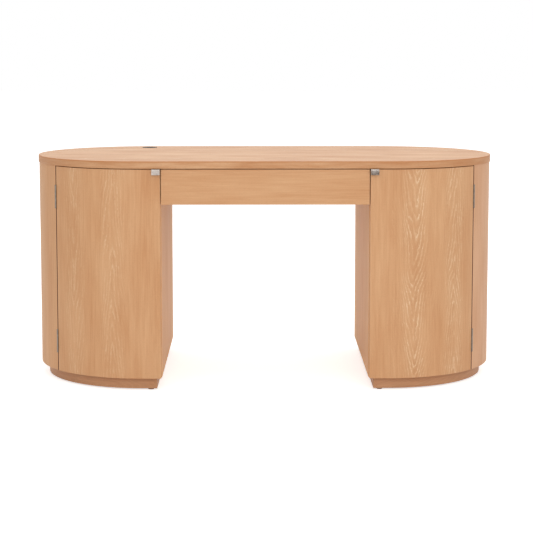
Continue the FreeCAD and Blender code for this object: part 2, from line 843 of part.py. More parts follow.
def glide(place):
    top = place + along_z * glide_height
    disc = rod(glide_radius, place, top)
    rim = [edge for edge in disc.Edges if edge.BoundBox.ZMax < glide_height / 2]
    disc = disc.makeFillet(glide_edge_round, rim)
    return disc.fuse(rod(glide_nail_radius, top, top + along_z * glide_nail_length)).removeSplitter()


def make_plinths():
    nail_holes = [
        screw_hole(place + along_z * glide_height, along_z, glide_nail_radius, glide_nail_length)
        for place in glide_places()
    ]
    z0, z1 = glide_height, body_bottom
    bend = half_stadium(plinth_radius, plinth_bend_x, z0, z1)
    bend = bend.cut(half_stadium(plinth_inner_radius, -overrun, -overrun, overrun))
    save_pair("plinth_bend", bend.cut(nail_holes))
    board = box(plinth_board_x, plinth_bend_x, -plinth_radius, plinth_radius, z0, z1)
    save_pair("plinth_board", board.cut(nail_holes))

    edge = block_size / 2
    square = []
    for side in (-1, 1):
        middle_y = side * (plinth_inner_radius - edge)
        square.append(box(plinth_bend_x, plinth_bend_x + block_size, middle_y - edge, middle_y + edge,
                          block_bottom, body_bottom))
    outer = block_outer_radius()
    for angle in block_angles():
        square.append(at_angle(box(outer - block_size, outer, -edge, edge, block_bottom, body_bottom), angle))
    holes = block_screw_holes()
    blocks = [block.cut(holes) for block in square]
    save("plinth_blocks", both_sides(blocks))
    length = block_height + floor_thickness * block_screw_bite_share
    screws = [
        pan_screw(seat, along_z, long_screw_radius, length, long_screw_head_radius, long_screw_head_height)
        for seat in block_screw_seats()
    ]
    save("plinth_screws", both_sides(screws))
    save("glides", both_sides([glide(place) for place in glide_places()]))


# Drawer: a four-sided box with a grooved-in bottom and a separate front screwed on from inside
def make_drawer():
    half = box_half_width
    inner_half = half - box_board
    y0 = front_back_y
    y1 = y0 + box_length
    front_bottom = body_top - front_top_gap - front_height
    front_half = panel_face_x - front_side_gap

    floor_bottom = box_bottom + bottom_rise
    floor_top = floor_bottom + bottom_thickness
    reach = inner_half + groove_depth
    bottom = box(-reach, reach, y0 + box_board - groove_depth, y1 - box_board + groove_depth,
                 floor_bottom, floor_top)
    groove = box(-reach - groove_gap, reach + groove_gap, y0 + box_board - groove_depth - groove_gap,
                 y1 - box_board + groove_depth + groove_gap, floor_bottom - groove_gap, floor_top + groove_gap)
    save("drawer_bottom", [bottom])

    side = box(inner_half, half, y0, y1, box_bottom, box_top)
    save_pair("drawer_side", side.cut([groove] + inner_slide_holes()))

    screw_length = box_board + front_thickness * front_screw_bite_share
    seats = [
        point(side_sign * inner_half * front_screw_x_share, y0 + box_board, box_bottom + box_height * share)
        for side_sign in (-1, 1)
        for share in front_screw_z_shares
    ]
    forward = along_y * -1
    holes = [screw_hole(seat, forward, slide_screw_radius, screw_length) for seat in seats]
    box_front = box(-inner_half, inner_half, y0, y0 + box_board, box_bottom, box_top)
    save("drawer_box_front", [box_front.cut([groove] + holes)])
    box_back = box(-inner_half, inner_half, y1 - box_board, y1, box_bottom, box_top)
    save("drawer_back", [box_back.cut(groove)])
    front = box(-front_half, front_half, -body_radius, y0, front_bottom, front_bottom + front_height)
    save("drawer_front", [front.cut(holes)])
    screws = [
        pan_screw(seat, forward, slide_screw_radius, screw_length, slide_head_radius, slide_head_height)
        for seat in seats
    ]
    save("drawer_front_screws", screws)


make_desktop()
make_grommet()
make_cabinets()
make_plinths()
make_hinges()
make_doors()
make_pulls()
make_catches()
make_shelves()
make_slides()
make_drawer()
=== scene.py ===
"""Looks of the oval executive desk: lacquered ash veneer, nickel hinges and pulls, zinc-plated running gear.

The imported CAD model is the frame. Its boards and fittings stay and get their finishes here; the screws are
drawn again with their cross recesses. Lengths are in metres, with +X to the sitter's right and the doors
towards -Y.
"""
import json
import math

import bmesh
import bpy
import numpy as np
from mathutils import Matrix, Vector

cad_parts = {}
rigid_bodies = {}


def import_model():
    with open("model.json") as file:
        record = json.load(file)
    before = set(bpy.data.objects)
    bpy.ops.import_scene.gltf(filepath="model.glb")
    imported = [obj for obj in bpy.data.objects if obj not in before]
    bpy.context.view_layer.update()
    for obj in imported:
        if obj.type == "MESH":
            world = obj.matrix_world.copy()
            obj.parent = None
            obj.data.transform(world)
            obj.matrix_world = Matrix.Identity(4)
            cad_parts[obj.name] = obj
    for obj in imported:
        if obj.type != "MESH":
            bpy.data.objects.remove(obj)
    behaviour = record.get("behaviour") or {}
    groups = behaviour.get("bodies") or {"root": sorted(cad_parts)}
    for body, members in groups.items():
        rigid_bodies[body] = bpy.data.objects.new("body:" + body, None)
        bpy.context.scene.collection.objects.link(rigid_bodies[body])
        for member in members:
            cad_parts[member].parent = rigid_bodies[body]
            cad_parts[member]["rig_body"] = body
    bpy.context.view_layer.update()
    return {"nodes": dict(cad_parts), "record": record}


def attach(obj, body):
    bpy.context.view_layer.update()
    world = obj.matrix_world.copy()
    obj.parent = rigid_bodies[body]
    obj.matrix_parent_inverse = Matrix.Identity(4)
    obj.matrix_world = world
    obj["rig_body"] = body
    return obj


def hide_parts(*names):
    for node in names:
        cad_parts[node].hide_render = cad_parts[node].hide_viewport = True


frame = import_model()

MM = 0.001

# Sizes that the CAD model has too
ARC_X = 404 * MM  # centre of each rounded end
END_RADIUS = 381 * MM
BODY_RADIUS = 378.5 * MM
SEAM_ANGLE = math.radians(51.5)  # hinge seam between a door and its shell
SEAM_GAP = 3 * MM
TOP_HEIGHT = 762 * MM


def linear(hex_colour):
    """Turns an sRGB hex colour into the linear RGBA that Blender's sockets hold."""
    channels = [int(hex_colour[i:i + 2], 16) / 255 for i in (1, 3, 5)]
    return tuple(c / 12.92 if c <= 0.04045 else ((c + 0.055) / 1.055) ** 2.4 for c in channels) + (1.0,)


def add(tree, kind, settings=None, inputs=None):
    """Adds one node, sets what it is set to, and gives each input a value or another node's output."""
    node = tree.nodes.new(kind)
    for name, value in (settings or {}).items():
        setattr(node, name, value)
    for name, value in (inputs or {}).items():
        if isinstance(value, bpy.types.NodeSocket):
            tree.links.new(value, node.inputs[name])
        else:
            node.inputs[name].default_value = value
    return node.outputs


def new_material(name):
    """An empty material and its node tree."""
    material = bpy.data.materials.new(name)
    material.use_nodes = True
    material.node_tree.nodes.clear()
    return material, material.node_tree


# Marks in ash as the eye tells them apart: width across the grain, length along it, and detail of the noise
GRAIN_MARKS = {
    "drift": (90 * MM, 480 * MM, 1),  # slow bend of the whole grain
    "swell": (160 * MM, 190 * MM, 1),  # where the arches crowd together or spread out
    "wave": (24 * MM, 110 * MM, 1),  # bend of single growth rings
    "jag": (3.0 * MM, 14 * MM, 2),  # broken edges of the pore rows
    "mottle": (7 * MM, 30 * MM, 1),  # where a pore row is open or closed
    "bold": (30 * MM, 120 * MM, 1),  # where the rings are strong or faint
    "cloud": (110 * MM, 260 * MM, 1),  # light and dark areas of a leaf
    "plank": (55 * MM, 520 * MM, 1),  # broad pale and dark stripes
    "band": (17 * MM, 380 * MM, 2),  # streaks seen from across the room
    "streak": (5.5 * MM, 150 * MM, 2),  # streaks seen from a step away
    "fibre": (1.1 * MM, 60 * MM, 2),  # silky fibres
    "pore": (0.45 * MM, 8 * MM, 1),  # open pores, seen close up
}

# How far these marks move the growth rings, and how close the rings lie
HEART_DRIFT = 36 * MM  # the heart of a leaf wanders as far as this from side to side
CROWDING = 200 * MM  # the arches are pushed as far as this along the leaf
WAVE_DEPTH = 15 * MM
JAG_DEPTH = 8 * MM
TIP_ROUNDING = 3.5 * MM  # of an arch
ARM_SPACING = 10 * MM  # from ring to ring in an arch's arms
OUTER_SPACING = 60 * MM  # past the arms the rings close up by one more to this width
LATER_ARCHES = 0.8  # past the boldest leaf the arches are taller, so there are fewer

# How strongly the lines show
PLAIN_LEAF, LATER_LEAF, HEART_LEAF = 0.08, 0.9, 1.0  # before the boldest leaf, past it, and on it
LINES_FADE = (18 * MM, 52 * MM)  # from the heart
LINES_LEFT = 0.15  # of their strength, where they have faded
LINES_OPEN = {  # noise from and to, and the strength it gives
    "bold": (0.35, 0.6, 0.35, 1.0),
    "mottle": (0.3, 0.7, 0.4, 1.3),
}
RING_GROUND = 0.04  # paleness between the lines
RING_LINE = ((0.05, 0.1), (0.15, 0.9), (0.27, 0.6), (0.42, 0.0))  # place in a ring, and paleness there
PORE_ROWS = 3.0  # in a growth ring
PORE_ROW_PALENESS = 0.7
PORES_OPEN = (0.56, 0.66)  # noise from which a pore starts to open, and where it is open
PORE_SHADE = 0.14
PORE_COLOUR = "#7c4f2c"

# Tone of the ground between the lines: 0 is its darkest and 1 its lightest colour
GROUND_START = -1.41  # sets the ground between its two colours, as the weights below add to it
GROUND_WEIGHTS = {"cloud": 0.9, "plank": 0.55, "band": 0.5, "streak": 1.05, "fibre": 0.7}
LEAF_TONE = 0.12  # greatest step from leaf to leaf
LATE_WOOD = -0.7  # darkening towards the end of a ring
LEAF_SEED_STEP = 3.7  # from one leaf's chance to the next one's

FIBRE_ROUGHNESS = (0.16, 0.52)  # share of the fibres, and the least roughness


def veneer_leaf(tree, given, mark):
    """The leaf of veneer at a place: its tone and figure, which way up it lies, and the way to its heart.

    Every other leaf is turned end for end. The leaf with the heart is the boldest, those past it are a little
    less so, and those before it are nearly plain.
    """
    drift = add(tree, "ShaderNodeMath", {"operation": "MULTIPLY_ADD"},
                {0: mark["drift"], 1: HEART_DRIFT, 2: -HEART_DRIFT / 2})[0]
    bent = add(tree, "ShaderNodeMath", {"operation": "ADD"}, {0: given["Across"], 1: drift})[0]
    from_heart = add(tree, "ShaderNodeMath", {"operation": "SUBTRACT"},
                     {0: bent, 1: given["Heart Across"]})[0]
    leaf_share = add(tree, "ShaderNodeMath", {"operation": "DIVIDE"},
                     {0: from_heart, 1: given["Leaf Width"]})[0]
    leaf = add(tree, "ShaderNodeMath", {"operation": "ROUND"}, {0: leaf_share})[0]
    leaf_start = add(tree, "ShaderNodeMath", {"operation": "MULTIPLY"}, {0: leaf, 1: given["Leaf Width"]})[0]
    aside = add(tree, "ShaderNodeMath", {"operation": "SUBTRACT"}, {0: from_heart, 1: leaf_start})[0]
    turned = add(tree, "ShaderNodeMath", {"operation": "ADD"}, {0: leaf, 1: given["Turn"]})[0]
    odd = add(tree, "ShaderNodeMath", {"operation": "FLOORED_MODULO"}, {0: turned, 1: 2.0})[0]
    way = add(tree, "ShaderNodeMath", {"operation": "MULTIPLY_ADD"}, {0: odd, 1: -2.0, 2: 1.0})[0]
    leaf_seed = add(tree, "ShaderNodeMath", {"operation": "MULTIPLY_ADD"},
                    {0: leaf, 1: LEAF_SEED_STEP, 2: given["Seed"]})[0]
    chance = add(tree, "ShaderNodeTexWhiteNoise", {"noise_dimensions": "1D"}, {"W": leaf_seed})["Value"]
    reached = add(tree, "ShaderNodeMath", {"operation": "GREATER_THAN"}, {0: leaf, 1: -0.5})[0]
    boldest = add(tree, "ShaderNodeMath", {"operation": "COMPARE"}, {0: leaf, 1: 0.0, 2: 0.5})[0]
    leaf_figure = add(tree, "ShaderNodeMath", {"operation": "MULTIPLY_ADD"},
                      {0: reached, 1: LATER_LEAF - PLAIN_LEAF, 2: PLAIN_LEAF})[0]
    leaf_figure = add(tree, "ShaderNodeMath", {"operation": "MULTIPLY_ADD"},
                      {0: boldest, 1: HEART_LEAF - LATER_LEAF, 2: leaf_figure})[0]
    return {"aside": aside, "way": way, "tone": chance, "boldest": boldest, "figure": leaf_figure}


def growth_rings(tree, given, mark, leaf, side):
    """Growth rings counted to a place: arches that step along the heart, nearly straight lines beside it."""
    crowded = add(tree, "ShaderNodeMath", {"operation": "MULTIPLY_ADD"},
                  {0: mark["swell"], 1: CROWDING, 2: given["Along"]})[0]
    stepped = add(tree, "ShaderNodeMath", {"operation": "DIVIDE"}, {0: crowded, 1: given["Arch Step"]})[0]
    closeness = add(tree, "ShaderNodeMath", {"operation": "MULTIPLY_ADD"},
                    {0: leaf["boldest"], 1: 1 - LATER_ARCHES, 2: LATER_ARCHES})[0]
    stepped = add(tree, "ShaderNodeMath", {"operation": "MULTIPLY"}, {0: stepped, 1: closeness})[0]
    steps = add(tree, "ShaderNodeMath", {"operation": "MULTIPLY"}, {0: stepped, 1: leaf["way"]})[0]
    arch = add(tree, "ShaderNodeCombineXYZ", None, {0: leaf["aside"], 1: TIP_ROUNDING})[0]
    spread = add(tree, "ShaderNodeVectorMath", {"operation": "LENGTH"}, {0: arch})["Value"]
    waved = add(tree, "ShaderNodeMath", {"operation": "MULTIPLY_ADD"},
                {0: mark["wave"], 1: WAVE_DEPTH, 2: spread})[0]
    jagged = add(tree, "ShaderNodeMath", {"operation": "MULTIPLY_ADD"},
                 {0: mark["jag"], 1: JAG_DEPTH, 2: waved})[0]
    arms = add(tree, "ShaderNodeMath", {"operation": "DIVIDE"}, {0: jagged, 1: ARM_SPACING})[0]
    past_arms = add(tree, "ShaderNodeMath", {"operation": "SUBTRACT"}, {0: side, 1: given["Arch Width"]})[0]
    past_arms = add(tree, "ShaderNodeMath", {"operation": "MAXIMUM"}, {0: past_arms, 1: 0.0})[0]
    sideways = add(tree, "ShaderNodeMath", {"operation": "MULTIPLY_ADD"},
                   {0: past_arms, 1: 1 / OUTER_SPACING, 2: arms})[0]
    return add(tree, "ShaderNodeMath", {"operation": "SUBTRACT"}, {0: sideways, 1: steps})[0]


def pore_lines(tree, rings, phase):
    """Paleness of the pore rows: each growth ring has several of them, of which the first is the palest."""
    first_row = add(tree, "ShaderNodeValToRGB", None, {"Fac": phase})["Color"]
    ramp = first_row.node.color_ramp
    for stop in ramp.elements:
        stop.color = (RING_GROUND, RING_GROUND, RING_GROUND, 1)
    for position, paleness in RING_LINE:
        ramp.elements.new(position).color = (paleness, paleness, paleness, 1)
    rows = add(tree, "ShaderNodeMath", {"operation": "MULTIPLY"}, {0: rings, 1: PORE_ROWS})[0]
    row_phase = add(tree, "ShaderNodeMath", {"operation": "FRACT"}, {0: rows})[0]
    row_line = add(tree, "ShaderNodeMath", {"operation": "PINGPONG"}, {0: row_phase, 1: 0.5})[0]
    return add(tree, "ShaderNodeMath", {"operation": "MULTIPLY_ADD"},
               {0: row_line, 1: PORE_ROW_PALENESS, 2: first_row})[0]


def line_strength(tree, given, mark, leaf, side):
    """How strongly the pore rows show: fully at a leaf's heart, less beside it, broken along their way."""
    strength = add(tree, "ShaderNodeMapRange", {"interpolation_type": "SMOOTHSTEP"},
                   {"Value": side, "From Min": LINES_FADE[0], "From Max": LINES_FADE[1],
                    "To Min": 1.0, "To Max": LINES_LEFT})[0]
    factors = [given["Figure"], leaf["figure"]]
    for name, (closed, opened, faint, strong) in LINES_OPEN.items():
        factors.append(add(tree, "ShaderNodeMapRange", None,
                           {"Value": mark[name], "From Min": closed, "From Max": opened,
                            "To Min": faint, "To Max": strong})[0])
    for factor in factors:
        strength = add(tree, "ShaderNodeMath", {"operation": "MULTIPLY"}, {0: strength, 1: factor})[0]
    return strength


def ground_tone(tree, mark, leaf, late_wood):
    """Tone between the pore rows: clouds, streaks, fibres, a step from leaf to leaf, darker late wood."""
    tone = GROUND_START
    shares = [(mark[name], weight) for name, weight in GROUND_WEIGHTS.items()]
    for part, weight in shares + [(leaf["tone"], LEAF_TONE), (late_wood, LATE_WOOD)]:
        tone = add(tree, "ShaderNodeMath", {"operation": "MULTIPLY_ADD"}, {0: part, 1: weight, 2: tone})[0]
    return tone


def make_ash_figure():
    """Node group: the colour and relief of flat-cut ash veneer at a place across and along its grain.

    A veneer leaf is cut nearly along a slightly tapered trunk, so its growth rings show as long nested
    arches, one stack to a leaf. Ash has pale rows of pores on a tan ground.
    """
    tree = bpy.data.node_groups.new("ash_figure", "ShaderNodeTree")
    sockets = {
        "NodeSocketFloat": ("Across", "Along", "Heart Across", "Leaf Width", "Arch Step", "Arch Width",
                            "Turn", "Figure", "Seed"),
        "NodeSocketColor": ("Light", "Dark", "Pale"),
    }
    for kind, names in sockets.items():
        for name in names:
            tree.interface.new_socket(name, in_out="INPUT", socket_type=kind)
    tree.interface.new_socket("Colour", in_out="OUTPUT", socket_type="NodeSocketColor")
    tree.interface.new_socket("Relief", in_out="OUTPUT", socket_type="NodeSocketFloat")
    tree.interface.new_socket("Roughness", in_out="OUTPUT", socket_type="NodeSocketFloat")
    given = add(tree, "NodeGroupInput")

    place = add(tree, "ShaderNodeCombineXYZ", None,
                {0: given["Across"], 1: given["Along"], 2: given["Seed"]})[0]
    mark = {}
    for name, (wide, long, detail) in GRAIN_MARKS.items():
        scaled = add(tree, "ShaderNodeVectorMath", {"operation": "MULTIPLY"},
                     {0: place, 1: (1 / wide, 1 / long, 1)})[0]
        mark[name] = add(tree, "ShaderNodeTexNoise", None,
                         {"Vector": scaled, "Scale": 1, "Detail": detail})["Fac"]

    leaf = veneer_leaf(tree, given, mark)
    side = add(tree, "ShaderNodeMath", {"operation": "ABSOLUTE"}, {0: leaf["aside"]})[0]
    rings = growth_rings(tree, given, mark, leaf, side)
    phase = add(tree, "ShaderNodeMath", {"operation": "FRACT"}, {0: rings})[0]
    strength = line_strength(tree, given, mark, leaf, side)
    lines = add(tree, "ShaderNodeMath", {"operation": "MULTIPLY"},
                {0: strength, 1: pore_lines(tree, rings, phase)})[0]
    late_wood = add(tree, "ShaderNodeMath", {"operation": "MULTIPLY"}, {0: phase, 1: strength})[0]
    tone = ground_tone(tree, mark, leaf, late_wood)
    ground = add(tree, "ShaderNodeMix", {"data_type": "RGBA"},
                 {"Factor": tone, "A": given["Dark"], "B": given["Light"]})["Result"]
    lined = add(tree, "ShaderNodeMix", {"data_type": "RGBA"},
                {"Factor": lines, "A": ground, "B": given["Pale"]})["Result"]
    pores = add(tree, "ShaderNodeMapRange", None,
                {"Value": mark["pore"], "From Min": PORES_OPEN[0], "From Max": PORES_OPEN[1]})[0]
    shade = add(tree, "ShaderNodeMath", {"operation": "MULTIPLY"}, {0: pores, 1: PORE_SHADE})[0]
    pored = add(tree, "ShaderNodeMix", {"data_type": "RGBA"},
                {"Factor": shade, "A": lined, "B": linear(PORE_COLOUR)})["Result"]
    relief = add(tree, "ShaderNodeMath", {"operation": "SUBTRACT"}, {0: mark["fibre"], 1: pores})[0]
    rough = add(tree, "ShaderNodeMath", {"operation": "MULTIPLY_ADD"},
                {0: mark["fibre"], 1: FIBRE_ROUGHNESS[0], 2: FIBRE_ROUGHNESS[1]})[0]
    add(tree, "NodeGroupOutput", None, {"Colour": pored, "Relief": relief, "Roughness": rough})
    return tree


ash_figure = make_ash_figure()

# Painted shade at the hinge seam: the wood's outer corners there are darkened, so that the seam reads as a
# dark line
PAINTED_SEAM_SHADE_COLOUR = "#4c2008"
SEAM_SHADE_REACH = SEAM_GAP / 2 + 0.7 * MM  # round the end, from the middle of the seam
SEAM_SHADE_FADES = (6 * MM, 2.5 * MM)  # below the outer face: where the painted shade starts, and where it is full
BACK_ANGLE = -2.0  # radians; an angle round a cabinet's end that is below this lies past half a turn


def bent_lay(tree, x, y, z, side, upright):
    """Grain round a cabinet's end: the places across and along it, and the painted shade at the hinge seam.
    """
    outward = add(tree, "ShaderNodeMath", {"operation": "MULTIPLY_ADD"}, {0: x, 1: side, 2: -ARC_X})[0]
    forward = add(tree, "ShaderNodeMath", {"operation": "MULTIPLY"}, {0: y, 1: -1.0})[0]
    angle = add(tree, "ShaderNodeMath", {"operation": "ARCTAN2"}, {0: outward, 1: forward})[0]
    # The cut from plus to minus half a turn would fall on the back, so angles there count on
    past = add(tree, "ShaderNodeMath", {"operation": "LESS_THAN"}, {0: angle, 1: BACK_ANGLE})[0]
    angle = add(tree, "ShaderNodeMath", {"operation": "MULTIPLY_ADD"}, {0: past, 1: math.tau, 2: angle})[0]
    round_way = add(tree, "ShaderNodeMath", {"operation": "MULTIPLY"}, {0: angle, 1: BODY_RADIUS})[0]
    flat_place = add(tree, "ShaderNodeCombineXYZ", None, {0: outward, 1: forward})[0]
    radius = add(tree, "ShaderNodeVectorMath", {"operation": "LENGTH"}, {0: flat_place})["Value"]
    if not upright:
        across = add(tree, "ShaderNodeMath", {"operation": "ADD"}, {0: z, 1: radius})[0]
        return across, round_way, []
    depth = add(tree, "ShaderNodeMath", {"operation": "SUBTRACT"}, {0: radius, 1: BODY_RADIUS})[0]
    across = add(tree, "ShaderNodeMath", {"operation": "ADD"}, {0: round_way, 1: depth})[0]
    # Painted shade: the outer corners beside the hinge seam are darkened, full near the outer face
    from_seam = add(tree, "ShaderNodeMath", {"operation": "SUBTRACT"}, {0: angle, 1: SEAM_ANGLE})[0]
    from_seam = add(tree, "ShaderNodeMath", {"operation": "ABSOLUTE"}, {0: from_seam})[0]
    at_seam = add(tree, "ShaderNodeMath", {"operation": "LESS_THAN"},
                  {0: from_seam, 1: SEAM_SHADE_REACH / BODY_RADIUS})[0]
    shallow = add(tree, "ShaderNodeMapRange", {"interpolation_type": "SMOOTHSTEP"},
                  {"Value": depth, "From Min": -SEAM_SHADE_FADES[0], "From Max": -SEAM_SHADE_FADES[1]})[0]
    painted_seam_shade = add(tree, "ShaderNodeMath", {"operation": "MULTIPLY"}, {0: at_seam, 1: shallow})[0]
    return across, z, [(painted_seam_shade, PAINTED_SEAM_SHADE_COLOUR)]


# Edge of the desktop: one plain strip of veneer, bent round both ends. Painted shade on it: a thin darker
# line at the border for the rounded arris, and darkening towards both ends, which turn away from the front
# light
FLAT_FACE = 0.7  # least upward part of the normal on a flat face
STRIP_SHARE = 0.35  # one strip, so its tone changes less across it than over as much of a board
STRIP_START = 0.6  # across the grain, so that the strip isn't cut from the same place as the faces
STRIP_FIGURE = 0.06
BAND_THICKNESS = 2.5 * MM  # seen from above
BORDER_SHADE_FADES = (5 * MM, 1.5 * MM)  # below the top: where the painted shade line starts, and where it is full
PAINTED_BORDER_SHADE_COLOUR = "#c07f4c"
END_SHADE_FROM, END_SHADE_TO = 0.4 * ARC_X, ARC_X + 0.8 * END_RADIUS
PAINTED_END_SHADE_SHARE = 0.42
PAINTED_END_SHADE_COLOUR = "#b0703f"


def desktop_lay(tree, facing, x, y, z, figure):
    """Grain along X on the desktop's faces and along its edge, plain there, and painted shade: a darker
    border line and darker ends.
    """
    size_x = add(tree, "ShaderNodeMath", {"operation": "ABSOLUTE"}, {0: x})[0]
    straight = add(tree, "ShaderNodeMath", {"operation": "MINIMUM"}, {0: size_x, 1: ARC_X})[0]
    beyond = add(tree, "ShaderNodeMath", {"operation": "SUBTRACT"}, {0: size_x, 1: straight})[0]
    size_y = add(tree, "ShaderNodeMath", {"operation": "ABSOLUTE"}, {0: y})[0]
    angle = add(tree, "ShaderNodeMath", {"operation": "ARCTAN2"}, {0: beyond, 1: size_y})[0]
    run = add(tree, "ShaderNodeMath", {"operation": "MULTIPLY_ADD"},
              {0: angle, 1: END_RADIUS, 2: straight})[0]
    hand = add(tree, "ShaderNodeMath", {"operation": "SIGN"}, {0: x})[0]
    edge_run = add(tree, "ShaderNodeMath", {"operation": "MULTIPLY"}, {0: run, 1: hand})[0]
    flatness = add(tree, "ShaderNodeMath", {"operation": "ABSOLUTE"}, {0: facing})[0]
    level = add(tree, "ShaderNodeMath", {"operation": "GREATER_THAN"}, {0: flatness, 1: FLAT_FACE})[0]
    along = add(tree, "ShaderNodeMix", None, {"Factor": level, "A": edge_run, "B": x})["Result"]
    strip = add(tree, "ShaderNodeMath", {"operation": "MULTIPLY_ADD"},
                {0: z, 1: STRIP_SHARE, 2: STRIP_START})[0]
    across = add(tree, "ShaderNodeMix", None, {"Factor": level, "A": strip, "B": y})["Result"]
    figure = add(tree, "ShaderNodeMix", None, {"Factor": level, "A": STRIP_FIGURE, "B": figure})["Result"]
    from_middle = add(tree, "ShaderNodeCombineXYZ", None, {0: beyond, 1: y})[0]
    reach = add(tree, "ShaderNodeVectorMath", {"operation": "LENGTH"}, {0: from_middle})["Value"]
    at_border = add(tree, "ShaderNodeMath", {"operation": "GREATER_THAN"},
                    {0: reach, 1: END_RADIUS - BAND_THICKNESS})[0]
    # Painted shade of the rounded arris: a darker line at the top of the edge face and on the top's rim
    arris_shade = add(tree, "ShaderNodeMapRange", {"interpolation_type": "SMOOTHSTEP"},
                {"Value": z, "From Min": TOP_HEIGHT - BORDER_SHADE_FADES[0],
                 "From Max": TOP_HEIGHT - BORDER_SHADE_FADES[1]})[0]
    painted_border_shade = add(tree, "ShaderNodeMix", None, {"Factor": level, "A": arris_shade, "B": at_border})["Result"]
    # Painted shade: the edge darkens towards both ends, where it turns away from the front light
    bent = add(tree, "ShaderNodeMapRange", {"interpolation_type": "SMOOTHSTEP"},
               {"Value": size_x, "From Min": END_SHADE_FROM, "From Max": END_SHADE_TO, "To Max": PAINTED_END_SHADE_SHARE})[0]
    bent = add(tree, "ShaderNodeMix", None, {"Factor": level, "A": bent, "B": 0.0})["Result"]
    return across, along, figure, [(bent, PAINTED_END_SHADE_COLOUR), (painted_border_shade, PAINTED_BORDER_SHADE_COLOUR)]


# Gloss of the wood, and the depth of the pores that its lacquer leaves open
WOOD_IOR = 1.5  # lacquered or bare
VENEER_SPECULAR = 0.42  # satin, so a little under a polished lacquer's 0.5
PORE_DEPTH = 0.05 * MM

# Colours of the lacquered ash: the ground's lightest and darkest, and the pale lines
ASH_TONES = ("#dcab7e", "#c98f5f", "#f0d3ac")
PLINTH_TONES = ("#d09d74", "#b6815b", "#deb18a")  # a darker, redder ash
# Knee-space inner panels: the ash made lighter and more orange, as painted light for the bounce they get too
# little of
PAINTED_LIGHT_PANEL_TONES = ("#edbb86", "#dba06b", "#f0d3ac")


def ash_veneer(name, lay, side=1, heart=0.0, leaf=180 * MM, step=30 * MM, arch=15 * MM, turn=0, figure=0.3,
               seed=1.0, tones=ASH_TONES):
    """Flat-cut ash veneer under satin lacquer: warm tan, silky along the grain, with soft highlights.

    lay says how the grain runs: along an axis or upright on flat boards, upright_bent and level_bent round a
    cabinet's end, and desktop for the top with its edge band. side is 1 on the right-hand cabinet and -1 on
    the left-hand one. heart is where the heart of the boldest leaf lies across the grain, leaf a leaf's
    width, step the height of its arches and arch their half width. turn is 1 where the boldest leaf stands
    on its head. figure is the strength of the pore rows, and seed picks one board from all others.
    """
    material, tree = new_material(name)
    spot = add(tree, "ShaderNodeTexCoord")
    x, y, z = add(tree, "ShaderNodeSeparateXYZ", None, {0: spot["Object"]})
    painted_shades = []
    if lay in ("upright_bent", "level_bent"):
        across, along, painted_shades = bent_lay(tree, x, y, z, side, lay == "upright_bent")
    elif lay == "desktop":
        facing = add(tree, "ShaderNodeSeparateXYZ", None, {0: spot["Normal"]})["Z"]
        across, along, figure, painted_shades = desktop_lay(tree, facing, x, y, z, figure)
    else:
        along, wide, thick = {"along_x_lying": (x, y, z), "along_x_standing": (x, z, y), "along_y": (y, z, x),
                              "upright": (z, y, x)}[lay]
        across = add(tree, "ShaderNodeMath", {"operation": "ADD"}, {0: wide, 1: thick})[0]
    light, dark, pale = tones
    wood = add(tree, "ShaderNodeGroup", {"node_tree": ash_figure}, {
        "Across": across, "Along": along, "Heart Across": heart, "Leaf Width": leaf, "Arch Step": step,
        "Arch Width": arch, "Turn": float(turn), "Figure": figure, "Seed": seed,
        "Light": linear(light), "Dark": linear(dark), "Pale": linear(pale)})
    colour = wood["Colour"]
    # Painted shade from the lay: the hinge seam's dark line, and the desktop edge's border line and darker
    # ends
    for share, shade_colour in painted_shades:
        colour = add(tree, "ShaderNodeMix", {"data_type": "RGBA"},
                     {"Factor": share, "A": colour, "B": linear(shade_colour)})["Result"]
    bump = add(tree, "ShaderNodeBump", None,
               {"Strength": 0.25, "Distance": PORE_DEPTH, "Height": wood["Relief"]})[0]
    shader = add(tree, "ShaderNodeBsdfPrincipled", None, {
        "Base Color": colour, "Roughness": wood["Roughness"], "Normal": bump,
        "IOR": WOOD_IOR, "Specular IOR Level": VENEER_SPECULAR})[0]
    add(tree, "ShaderNodeOutputMaterial", None, {"Surface": shader})
    return material


def stretched_marks(tree, spot, marks, detail):
    """Marks on an object, with their own size along X, Y and Z."""
    scaled = add(tree, "ShaderNodeVectorMath", {"operation": "MULTIPLY"},
                 {0: spot["Object"], 1: tuple(1 / length for length in marks)})[0]
    return add(tree, "ShaderNodeTexNoise", None, {"Vector": scaled, "Scale": 1.0, "Detail": detail})["Fac"]


NOISE_RANGE = (0.3, 0.7)  # nearly all of a noise lies between these


